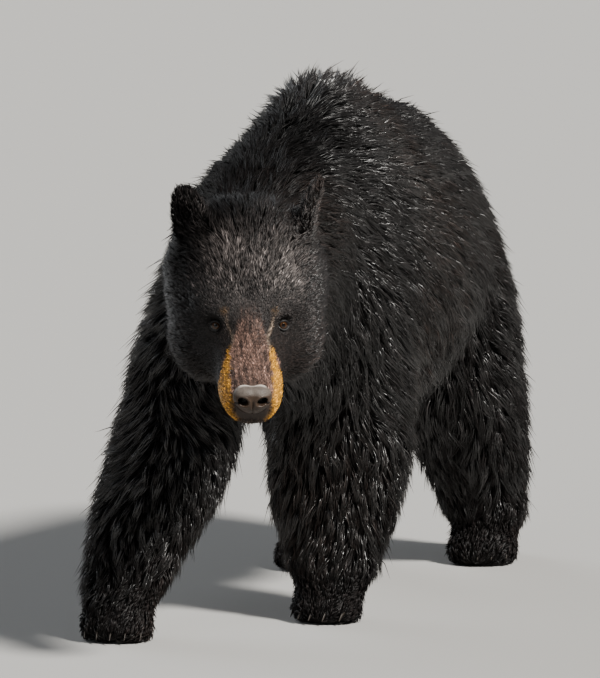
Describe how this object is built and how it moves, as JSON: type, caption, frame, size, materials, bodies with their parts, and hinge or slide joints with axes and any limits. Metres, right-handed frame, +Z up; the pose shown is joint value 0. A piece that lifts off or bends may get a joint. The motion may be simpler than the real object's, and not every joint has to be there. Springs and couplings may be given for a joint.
{
  "type": "american black bear",
  "caption": "Still life-size American black bear with a wet black coat and tan muzzle, walking with its head low and turned to its left.",
  "frame": {"origin": "centre of the bear's bounding box, at the level of its soles", "axes": "+Z up, -Y the way the bear walks, +X its left side"},
  "size_m": [0.4842, 1.495, 0.8609],
  "materials": {
    "coat": "long black fur, damp and clumped in locks, tan on the muzzle",
    "nose": "dark grey-brown pebbled skin, moist",
    "eye": "wet brown eye with a round black pupil",
    "claw": "dark polished horn"
  },
  "bodies": {
    "root": {"belly": "coat", "chest": "coat", "claw_fore_left_1": "claw", "claw_fore_left_2": "claw", "claw_fore_left_3": "claw", "claw_fore_left_4": "claw", "claw_fore_left_5": "claw", "claw_fore_right_1": "claw", "claw_fore_right_2": "claw", "claw_fore_right_3": "claw", "claw_fore_right_4": "claw", "claw_fore_right_5": "claw", "claw_hind_left_1": "claw", "claw_hind_left_2": "claw", "claw_hind_left_3": "claw", "claw_hind_left_4": "claw", "claw_hind_left_5": "claw", "claw_hind_right_1": "claw", "claw_hind_right_2": "claw", "claw_hind_right_3": "claw", "claw_hind_right_4": "claw", "claw_hind_right_5": "claw", "ear_left": "coat", "ear_right": "coat", "eye_left": "eye", "eye_right": "eye", "foreleg_left": "coat", "foreleg_right": "coat", "forepaw_left": "coat", "forepaw_right": "coat", "head": "coat", "hind_leg_left": "coat", "hind_leg_right": "coat", "hind_paw_left": "coat", "hind_paw_right": "coat", "neck": "coat", "nose_pad": "nose", "rump": "coat", "tail": "coat"}
  },
  "joints": []
}
